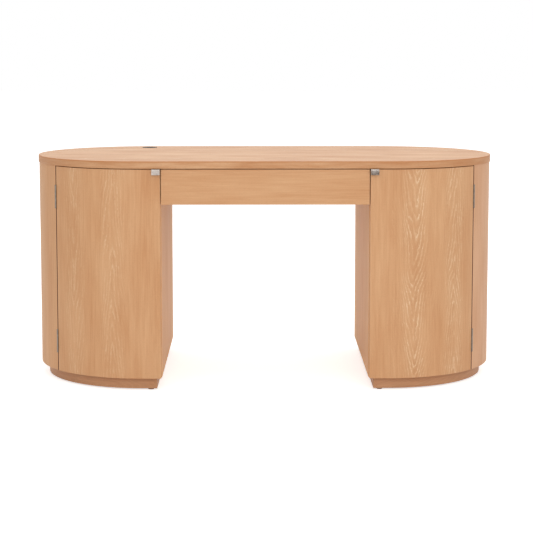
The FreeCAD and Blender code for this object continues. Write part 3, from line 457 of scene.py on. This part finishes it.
def birch_plywood():
    """Clear-lacquered birch plywood of the drawer box: pale faces, thin dark glue lines on the edges."""
    ply_thickness = 1.4 * MM
    fibre_size = (60 * MM, 60 * MM, 3 * MM)
    edge_facing = 0.8  # least upward part of the normal on a board's top edge
    material, tree = new_material("birch_plywood")
    spot = add(tree, "ShaderNodeTexCoord")
    x, y, _ = add(tree, "ShaderNodeSeparateXYZ", None, {0: spot["Object"]})
    fibre = stretched_marks(tree, spot, fibre_size, 3.0)
    facing = add(tree, "ShaderNodeSeparateXYZ", None, {0: spot["Normal"]})["Z"]
    top_edge = add(tree, "ShaderNodeMath", {"operation": "GREATER_THAN"}, {0: facing, 1: edge_facing})[0]
    through = add(tree, "ShaderNodeMath", {"operation": "ADD"}, {0: x, 1: y})[0]
    plies = add(tree, "ShaderNodeMath", {"operation": "DIVIDE"}, {0: through, 1: ply_thickness})[0]
    ply = add(tree, "ShaderNodeMath", {"operation": "PINGPONG"}, {0: plies, 1: 1.0})[0]
    ply_shown = add(tree, "ShaderNodeMath", {"operation": "MULTIPLY"}, {0: ply, 1: top_edge})[0]
    tone = add(tree, "ShaderNodeMapRange", None,
               {"Value": fibre, "From Min": NOISE_RANGE[0], "From Max": NOISE_RANGE[1]})[0]
    face = add(tree, "ShaderNodeMix", {"data_type": "RGBA"},
               {"Factor": tone, "A": linear("#d9b98b"), "B": linear("#e9d0a8")})["Result"]
    colour = add(tree, "ShaderNodeMix", {"data_type": "RGBA"},
                 {"Factor": ply_shown, "A": face, "B": linear("#b48d60")})["Result"]
    bump = add(tree, "ShaderNodeBump", None, {"Strength": 0.2, "Distance": PORE_DEPTH, "Height": fibre})[0]
    shader = add(tree, "ShaderNodeBsdfPrincipled", None,
                 {"Base Color": colour, "Roughness": 0.45, "Normal": bump, "IOR": WOOD_IOR})[0]
    add(tree, "ShaderNodeOutputMaterial", None, {"Surface": shader})
    return material


def raw_beech():
    """Raw beech of the glue blocks and dowels: pinkish and matt, with short dark flecks along the grain."""
    tone_size = (8 * MM, 2 * MM, 2 * MM)
    fleck_size = (2.5 * MM, 0.5 * MM, 0.5 * MM)
    fleck_from, fleck_full = 0.6, 0.7  # noise from which a fleck shows, and where it is darkest
    fleck_share = 0.6
    fleck_depth = 0.08 * MM
    material, tree = new_material("raw_beech")
    spot = add(tree, "ShaderNodeTexCoord")
    tone = stretched_marks(tree, spot, tone_size, 3.0)
    flecks = stretched_marks(tree, spot, fleck_size, 1.0)
    fleck = add(tree, "ShaderNodeMapRange", None,
                {"Value": flecks, "From Min": fleck_from, "From Max": fleck_full, "To Max": fleck_share})[0]
    wood = add(tree, "ShaderNodeMix", {"data_type": "RGBA"},
               {"Factor": tone, "A": linear("#bd8f66"), "B": linear("#d6ac84")})["Result"]
    colour = add(tree, "ShaderNodeMix", {"data_type": "RGBA"},
                 {"Factor": fleck, "A": wood, "B": linear("#8f6242")})["Result"]
    bump = add(tree, "ShaderNodeBump", None, {"Strength": 0.3, "Distance": fleck_depth, "Height": flecks})[0]
    shader = add(tree, "ShaderNodeBsdfPrincipled", None,
                 {"Base Color": colour, "Roughness": 0.7, "Normal": bump, "IOR": WOOD_IOR})[0]
    add(tree, "ShaderNodeOutputMaterial", None, {"Surface": shader})
    return material


def plated_metal(name, dark, light, roughness, brush, depth):
    """Plated metal whose surface was brushed or drawn: fine lines in the brush's direction and cloudy gloss.

    brush holds the lines' size along X, Y and Z. The real lines are finer than the render shows, so they are
    drawn about five times as coarse. The gloss drifts, as polish and touch leave it.
    """
    cloud_size = 14 * MM
    gloss_drift = 0.06
    tone_range = (0.15, 0.38)  # nearly all of the lines' noise times the clouds' lies between these
    material, tree = new_material(name)
    spot = add(tree, "ShaderNodeTexCoord")
    lines = stretched_marks(tree, spot, brush, 2.0)
    cloud = add(tree, "ShaderNodeTexNoise", None,
                {"Vector": spot["Object"], "Scale": 1 / cloud_size, "Detail": 2.0})["Fac"]
    mixed = add(tree, "ShaderNodeMath", {"operation": "MULTIPLY"}, {0: lines, 1: cloud})[0]
    tone = add(tree, "ShaderNodeMapRange", None,
               {"Value": mixed, "From Min": tone_range[0], "From Max": tone_range[1]})[0]
    colour = add(tree, "ShaderNodeMix", {"data_type": "RGBA"},
                 {"Factor": tone, "A": linear(dark), "B": linear(light)})["Result"]
    bump = add(tree, "ShaderNodeBump", None, {"Strength": 0.3, "Distance": depth, "Height": lines})[0]
    gloss = add(tree, "ShaderNodeMapRange", None,
                {"Value": cloud, "From Min": NOISE_RANGE[0], "From Max": NOISE_RANGE[1],
                 "To Min": roughness - gloss_drift, "To Max": roughness + gloss_drift})[0]
    shader = add(tree, "ShaderNodeBsdfPrincipled", None,
                 {"Base Color": colour, "Metallic": 1.0, "Normal": bump, "Roughness": gloss})[0]
    add(tree, "ShaderNodeOutputMaterial", None, {"Surface": shader})
    return material


def moulded_plastic(name, dark, light, roughness, ior, spark=0.35 * MM, specular=0.5):
    """Injection-moulded plastic, or pressed ferrite: even colour, soft sheen, fine pebbly relief.

    spark is the size of the pebbles, which the spark-eroded mould leaves.
    """
    flow_size = 18 * MM
    pebble_depth = 0.06 * MM
    gloss_drift = 0.05
    material, tree = new_material(name)
    spot = add(tree, "ShaderNodeTexCoord")
    pebbles = add(tree, "ShaderNodeTexNoise", None,
                  {"Vector": spot["Object"], "Scale": 1 / spark, "Detail": 1.0})["Fac"]
    flow = add(tree, "ShaderNodeTexNoise", None,
               {"Vector": spot["Object"], "Scale": 1 / flow_size, "Detail": 2.0})["Fac"]
    colour = add(tree, "ShaderNodeMix", {"data_type": "RGBA"},
                 {"Factor": flow, "A": linear(dark), "B": linear(light)})["Result"]
    bump = add(tree, "ShaderNodeBump", None,
               {"Strength": 0.3, "Distance": pebble_depth, "Height": pebbles})[0]
    gloss = add(tree, "ShaderNodeMapRange", None,
                {"Value": flow, "From Min": NOISE_RANGE[0], "From Max": NOISE_RANGE[1],
                 "To Min": roughness - gloss_drift, "To Max": roughness + gloss_drift})[0]
    shader = add(tree, "ShaderNodeBsdfPrincipled", None, {
        "Base Color": colour, "Roughness": gloss, "Normal": bump, "IOR": ior,
        "Specular IOR Level": specular})[0]
    add(tree, "ShaderNodeOutputMaterial", None, {"Surface": shader})
    return material


# Veneer of each piece that shows from outside, with its arches and streaks about where the real one has them
VENEERS = {
    "desktop": {"lay": "desktop", "heart": -250 * MM, "leaf": 190 * MM, "step": 110 * MM, "figure": 0.66,
                "seed": 2.0, "tones": ("#e6ba8f", "#bf8252", "#f0d3ac")},
    "drawer_front": {"lay": "along_x_standing", "heart": 1000 * MM, "leaf": 230 * MM, "seed": 5.0},
    "rear_apron": {"lay": "along_x_standing", "heart": 1050 * MM, "leaf": 230 * MM, "seed": 8.0},
    "door_right": {"lay": "upright_bent", "heart": 88 * MM, "leaf": 156 * MM, "step": 52 * MM,
                   "arch": 26 * MM, "figure": 0.66, "seed": 3.0},
    "door_left": {"lay": "upright_bent", "side": -1, "heart": 100 * MM, "leaf": 150 * MM, "step": 90 * MM,
                  "arch": 26 * MM, "turn": 1, "figure": 0.4, "seed": 43.0},
    # Right shell: paler, less orange tones, as a painted sheen where it turns towards the light
    "curved_shell_right": {"lay": "upright_bent", "heart": 520 * MM, "leaf": 170 * MM, "figure": 0.35,
                           "seed": 13.0, "tones": ("#dfb08a", "#cd966d", "#f0d3ac")},
    "curved_shell_left": {"lay": "upright_bent", "side": -1, "heart": 500 * MM, "leaf": 170 * MM, "turn": 1,
                          "figure": 0.35, "seed": 17.0},
    "inner_panel_right": {"lay": "upright", "heart": 480 * MM, "seed": 19.0, "tones": PAINTED_LIGHT_PANEL_TONES},
    "inner_panel_left": {"lay": "upright", "heart": -240 * MM, "seed": 23.0, "tones": PAINTED_LIGHT_PANEL_TONES},
    "plinth_bend_right": {"lay": "level_bent", "leaf": 90 * MM, "figure": 0.2, "seed": 29.0,
                          "tones": PLINTH_TONES},
    "plinth_bend_left": {"lay": "level_bent", "side": -1, "leaf": 90 * MM, "figure": 0.2, "seed": 31.0,
                         "tones": PLINTH_TONES},
}
veneers = {node: ash_veneer("ash_" + node, **look) for node, look in VENEERS.items()}

inside_board = ash_veneer("ash_inside", "along_x_lying", figure=0.2, seed=41.0)
plinth_board = ash_veneer("ash_plinth_board", "along_y", leaf=90 * MM, figure=0.2, seed=37.0,
                          tones=PLINTH_TONES)
# Pulls, brushed along their width: a soft, warm grey sheen
satin_nickel = plated_metal("satin_nickel", "#a1968e", "#c1b9b2", 0.3, (9 * MM, 0.25 * MM, 0.25 * MM),
                            0.02 * MM)
# Hinges, drawn along their pins: the same nickel, darker and duller
dull_nickel = plated_metal("dull_nickel", "#797067", "#978d81", 0.45, (0.25 * MM, 0.25 * MM, 8 * MM),
                           0.02 * MM)
# Slides, rolled along their run: cold, bright zinc
zinc_plate = plated_metal("zinc_plated_steel", "#a7a9ab", "#cdd0d2", 0.32, (0.3 * MM, 12 * MM, 0.3 * MM),
                          0.02 * MM)
# Balls in their cages: polished, nearly a mirror
ball_steel = plated_metal("polished_bearing_steel", "#b9bbbd", "#dcdee0", 0.14, (0.4 * MM, 6 * MM, 0.4 * MM),
                          0.005 * MM)

SLOT_FINISHES = {
    "ash_veneer": inside_board,
    "plinth_ash": plinth_board,
    "drawer_ply": birch_plywood(),
    "beech": raw_beech(),
    "brushed_nickel": satin_nickel,
    "zinc_steel": zinc_plate,
    "bearing_steel": ball_steel,
    # Grommet: nearly black and dull, so it hardly mirrors the white room
    "gunmetal_plastic": moulded_plastic("gunmetal_abs", "#2c2a28", "#393634", 0.62, 1.54, specular=0.12),
    # Glides: waxy
    "glide_plastic": moulded_plastic("brown_polyethylene", "#6d5240", "#83644f", 0.5, 1.51),
    # Catches: a little glossier
    "catch_plastic": moulded_plastic("brown_nylon", "#5d4130", "#70503c", 0.48, 1.53),
    # Magnets: dark grey, with a cold shine
    "magnet_ferrite": moulded_plastic("sintered_ferrite", "#2b2b2d", "#3c3c3e", 0.6, 1.9, 0.2 * MM),
}
node_slots = {part["node"]: part["material_slot"] for part in frame["record"]["subparts"]}


def finish_of(node):
    """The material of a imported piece: its own veneer, the hinges' nickel, or its slot's finish."""
    if "hinge" in node:
        return dull_nickel
    return veneers.get(node, SLOT_FINISHES[node_slots[node]])


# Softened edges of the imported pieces: width of the rounding, by finish
EDGE_SOFTENING = {
    "ash_veneer": 0.9 * MM, "plinth_ash": 0.8 * MM, "drawer_ply": 1.0 * MM, "beech": 0.6 * MM,
    "brushed_nickel": 0.25 * MM, "zinc_steel": 0.2 * MM, "gunmetal_plastic": 0.3 * MM,
    "catch_plastic": 0.4 * MM, "magnet_ferrite": 0.3 * MM,
}
EDGES_LEFT = ("desktop", "grommet_cap")  # the first is rounded in the model, the other too small for it
SHARP_ANGLE = math.radians(50)
RIM_EDGE = 3.2  # an edge shorter than this many widths belongs to the rim of a hole
SAME_POINT = 0.001 * MM
SPOT_GRID = 0.01 * MM  # places are rounded to this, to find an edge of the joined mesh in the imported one


def joined_mesh(mesh):
    """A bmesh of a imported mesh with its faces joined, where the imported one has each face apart."""
    joined = bmesh.new()
    joined.from_mesh(mesh)
    bmesh.ops.remove_doubles(joined, verts=joined.verts, dist=SAME_POINT)
    return joined


def edge_spots(corners):
    """The rounded places of an edge's two ends."""
    return frozenset(tuple(round(length / SPOT_GRID) for length in corner.co) for corner in corners)


def soften_edges(piece, width):
    """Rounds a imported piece's sharp edges by modifiers alone, but not the rims of its small holes."""
    joined = joined_mesh(piece.data)
    sharp = [edge for edge in joined.edges
             if len(edge.link_faces) == 2 and edge.calc_face_angle() > SHARP_ANGLE]
    rims = {corner for edge in sharp if edge.calc_length() < RIM_EDGE * width for corner in edge.verts}
    softened = {edge_spots(edge.verts) for edge in sharp if not rims.intersection(edge.verts)}
    joined.free()
    corners = piece.data.vertices
    weights = piece.data.attributes.new("bevel_weight_edge", "FLOAT", "EDGE")
    for edge, weight in zip(piece.data.edges, weights.data):
        weight.value = float(edge_spots(corners[i] for i in edge.vertices) in softened)
    weld = piece.modifiers.new("joined_faces", "WELD")
    weld.merge_threshold = SAME_POINT
    bevel = piece.modifiers.new("softened_edges", "BEVEL")
    bevel.width = width
    bevel.segments = 2
    bevel.limit_method = "WEIGHT"
    bevel.use_clamp_overlap = False
    shading = piece.modifiers.new("even_shading", "WEIGHTED_NORMAL")
    shading.keep_sharp = True


for node, piece in frame["nodes"].items():
    slot = node_slots[node]
    for place in piece.material_slots:
        place.link = "OBJECT"
        place.material = finish_of(node)
    if slot in EDGE_SOFTENING and node not in EDGES_LEFT and "screws" not in node:
        soften_edges(piece, EDGE_SOFTENING[slot])

# Screws, drawn over the model's own. The heads' forms are shares of a head's radius and height, from its
# underside up; the tip's and the cross recess's sizes are shares of the shank's and the head's radius.
PAN_HEAD = ((1.0, 1.0), (1.0, 0.5), (0.94, 0.2), (0.78, 0.0))
SUNK_HEAD = ((1.0, 0.1), (1.0, 0.0))
TIP_RADIUS, TIP_LENGTH = 0.12, 2.4
RECESS_REACH, RECESS_HALF_WIDTH, RECESS_DEPTH = 0.56, 0.12, 0.5
RECESS_FLOOR = 0.62  # size of the recess at its floor
SCREW_STEPS = 24
SCREW_TURN = 0.9  # radians from one screw's recess to the next one's
SCREW_SHARP_ANGLE = math.radians(35)


def loose_points(mesh):
    """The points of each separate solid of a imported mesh."""
    joined = joined_mesh(mesh)
    left = set(joined.verts)
    while left:
        found = [left.pop()]
        for corner in found:
            for side in corner.link_edges:
                other = side.other_vert(corner)
                if other in left:
                    left.remove(other)
                    found.append(other)
        yield np.array([corner.co for corner in found])
    joined.free()


def screw_lie(points):
    """Where a screw's head starts, the way it points, and its whole length."""
    middle = points.mean(axis=0)
    way = np.linalg.svd(points - middle)[2][0]
    reach = (points - middle) @ way
    away = np.linalg.norm(points - middle - np.outer(reach, way), axis=1)
    if reach[away.argmax()] > 0:
        way, reach = -way, -reach
    return Vector(middle + way * reach.min()), Vector(way), float(reach.max() - reach.min())


def draw_screw(drawn, lie, turn, shank, head, rise, form):
    """One screw, head first along +Z: a head that is a pan or sunk flush, and a pointed shank."""
    start, way, length = lie
    outline = [(TIP_RADIUS * shank, length), (shank, length - TIP_LENGTH * shank), (shank, rise)]
    outline += [(head * across, rise * down) for across, down in form]
    turned = way.to_track_quat("Z", "Y").to_matrix().to_4x4() @ Matrix.Rotation(turn, 4, "Z")
    place = Matrix.Translation(start) @ turned
    angles = [math.tau * i / SCREW_STEPS for i in range(SCREW_STEPS)]
    rings = [[drawn.verts.new(place @ Vector((radius * math.cos(a), radius * math.sin(a), level)))
              for a in angles] for radius, level in outline]
    for low, high in zip(rings, rings[1:]):
        for i in range(SCREW_STEPS):
            drawn.faces.new((low[i - 1], low[i], high[i], high[i - 1]))
    drawn.faces.new(rings[0])
    # Cross recess: four arms at the top, smaller at its floor
    arm, half = RECESS_REACH * head, RECESS_HALF_WIDTH * head
    corners = [(arm, -half), (arm, half), (half, half)]
    crosses = []
    for share, level in ((1.0, 0), (RECESS_FLOOR, RECESS_DEPTH * head)):
        loop = []
        for quarter in range(4):
            spin = Matrix.Rotation(quarter * math.pi / 2, 4, "Z")
            loop += [drawn.verts.new(place @ spin @ Vector((x * share, y * share, level)))
                     for x, y in corners]
        crosses.append(loop)
    for i in range(len(crosses[0])):
        drawn.faces.new((crosses[0][i - 1], crosses[0][i], crosses[1][i], crosses[1][i - 1]))
    drawn.faces.new(crosses[1])
    border = [drawn.edges.get((ring[i - 1], ring[i])) for ring in (rings[-1], crosses[0])
              for i in range(len(ring))]
    bmesh.ops.triangle_fill(drawn, edges=border, use_beauty=True, use_dissolve=False)


# Sizes of the screws: radius of the shank and of the head, height of the head, and its form
LONG_SCREW = (2.25 * MM, 4.5 * MM, 2.8 * MM, PAN_HEAD)
SMALL_SCREW = (1.75 * MM, 3.5 * MM, 0.9 * MM, PAN_HEAD)
HINGE_SCREW = (1.5 * MM, 2.8 * MM, 1.2 * MM, SUNK_HEAD)
PULL_SCREW = (1.25 * MM, 2.4 * MM, 1.5 * MM, SUNK_HEAD)
SCREWS = {
    "desktop_screws": LONG_SCREW,
    "plinth_screws": LONG_SCREW,
    "small_screws": SMALL_SCREW,
    "drawer_front_screws": SMALL_SCREW,
    "slide_inner_screws": SMALL_SCREW,
    "shell_hinge_screws": HINGE_SCREW,
    "door_hinge_screws_left": HINGE_SCREW,
    "door_hinge_screws_right": HINGE_SCREW,
    "pull_screws_left": PULL_SCREW,
    "pull_screws_right": PULL_SCREW,
}
for node, screw_size in SCREWS.items():
    drawn = bmesh.new()
    lies = [screw_lie(points) for points in loose_points(frame["nodes"][node].data)]
    for number, lie in enumerate(sorted(lies, key=lambda lie: tuple(lie[0]))):
        draw_screw(drawn, lie, SCREW_TURN * number, *screw_size)
    bmesh.ops.recalc_face_normals(drawn, faces=drawn.faces)
    mesh = bpy.data.meshes.new("drawn_" + node)
    drawn.to_mesh(mesh)
    drawn.free()
    mesh.shade_smooth()
    mesh.set_sharp_from_angle(angle=SCREW_SHARP_ANGLE)
    mesh.materials.append(finish_of(node))
    screws = bpy.data.objects.new("drawn_" + node, mesh)
    bpy.context.collection.objects.link(screws)
    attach(screws, frame["nodes"][node]["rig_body"])
    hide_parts(node)


def seen_directly(tree):
    """1 where a ray comes from the camera, from gloss or through something clear, and 0 where it lights."""
    rays = add(tree, "ShaderNodeLightPath")
    seen = add(tree, "ShaderNodeMath", {"operation": "MAXIMUM"},
               {0: rays["Is Camera Ray"], 1: rays["Is Glossy Ray"]})[0]
    return add(tree, "ShaderNodeMath", {"operation": "MAXIMUM"}, {0: seen, 1: rays["Is Transmission Ray"]})[0]


def stage_sheet(name, corners, material):
    """A flat sheet of the studio, which isn't part of the desk."""
    mesh = bpy.data.meshes.new(name)
    mesh.from_pydata(corners, [], [(0, 1, 2, 3)])
    mesh.materials.append(material)
    sheet = bpy.data.objects.new(name, mesh)
    bpy.context.collection.objects.link(sheet)
    return sheet


# Studio floor: white paper that keeps the desk's shadow, lifted to white where it is seen
FLOOR_REACH = 30.0
FLOOR_LIFT = 0.61
paper, tree = new_material("white_paper")
lift = add(tree, "ShaderNodeMath", {"operation": "MULTIPLY"}, {0: seen_directly(tree), 1: FLOOR_LIFT})[0]
matt = add(tree, "ShaderNodeBsdfDiffuse", None, {"Color": linear("#f4f4f4")})[0]
glow = add(tree, "ShaderNodeEmission", None, {"Color": linear("#ffffff"), "Strength": lift})[0]
both = add(tree, "ShaderNodeAddShader", None, {0: matt, 1: glow})[0]
add(tree, "ShaderNodeOutputMaterial", None, {"Surface": both})
stage_sheet("floor", [(-FLOOR_REACH, -FLOOR_REACH, 0), (FLOOR_REACH, -FLOOR_REACH, 0),
                      (FLOOR_REACH, FLOOR_REACH, 0), (-FLOOR_REACH, FLOOR_REACH, 0)], paper)

# White surroundings, which light the desk a little less than they show
WORLD_LIGHT = 0.72
world = bpy.data.worlds.new("studio")
bpy.context.scene.world = world
world.use_nodes = True
tree = world.node_tree
tree.nodes.clear()
level = add(tree, "ShaderNodeMapRange", None, {"Value": seen_directly(tree), "To Min": WORLD_LIGHT})[0]
sky = add(tree, "ShaderNodeBackground", None, {"Color": linear("#ffffff"), "Strength": level})[0]
add(tree, "ShaderNodeOutputWorld", None, {"Surface": sky})

# Soft lamps: place, point it faces, width and height, watts
LAMPS = {
    "overhead_softbox": ((0.2, -0.6, 3.6), (0.0, 0.0, 0.7), (3.2, 2.4), 16.0),
    "front_softbox": ((0.8, -5.2, 2.6), (0.0, 0.0, 0.4), (3.0, 2.4), 63.0),
    "back_softbox": ((0.0, 4.6, 2.3), (0.0, 0.0, 0.8), (5.0, 2.2), 36.0),
}
for name, (place, target, size, watts) in LAMPS.items():
    lamp = bpy.data.lights.new(name, "AREA")
    lamp.shape = "RECTANGLE"
    lamp.size, lamp.size_y = size
    lamp.energy = watts
    holder = bpy.data.objects.new(name, lamp)
    holder.location = place
    holder.rotation_euler = (Vector(target) - Vector(place)).to_track_quat("-Z", "Y").to_euler()
    bpy.context.collection.objects.link(holder)

# Grey card beside the camera, seen only in gloss: it darkens the reflection in the right pull
CARD_LEFT, CARD_RIGHT, CARD_FRONT, CARD_TOP = 0.25, 1.9, -3.0, 1.5
card_paper, tree = new_material("grey_card_paper")
matt = add(tree, "ShaderNodeBsdfDiffuse", None, {"Color": linear("#6c5c50")})[0]
add(tree, "ShaderNodeOutputMaterial", None, {"Surface": matt})
card = stage_sheet("grey_card", [(CARD_LEFT, CARD_FRONT, 0), (CARD_RIGHT, CARD_FRONT, 0),
                                 (CARD_RIGHT, CARD_FRONT, CARD_TOP), (CARD_LEFT, CARD_FRONT, CARD_TOP)],
                   card_paper)
card.visible_camera = False
card.visible_diffuse = False
card.visible_shadow = False
card.visible_transmission = False

# Camera, fitted to the photograph's edges: place, turn to the right and tilt down in radians, lens
CAMERA_PLACE = (-37.8 * MM, -5594.1 * MM, 1158.3 * MM)
CAMERA_TURN = 0.00797
CAMERA_TILT = 0.10812
SENSOR_WIDTH = 36.0
FOCAL_LENGTH = 108.37
LENS_SHIFT = -0.10
FARTHEST_SEEN = 100.0
lens = bpy.data.cameras.new("camera")
lens.sensor_width = SENSOR_WIDTH
lens.lens = FOCAL_LENGTH
lens.shift_y = LENS_SHIFT
lens.clip_end = FARTHEST_SEEN
camera = bpy.data.objects.new("camera", lens)
camera.location = CAMERA_PLACE
camera.rotation_euler = (math.pi / 2 - CAMERA_TILT, 0, -CAMERA_TURN)
bpy.context.collection.objects.link(camera)
bpy.context.scene.camera = camera
bpy.context.scene.view_settings.view_transform = "Standard"
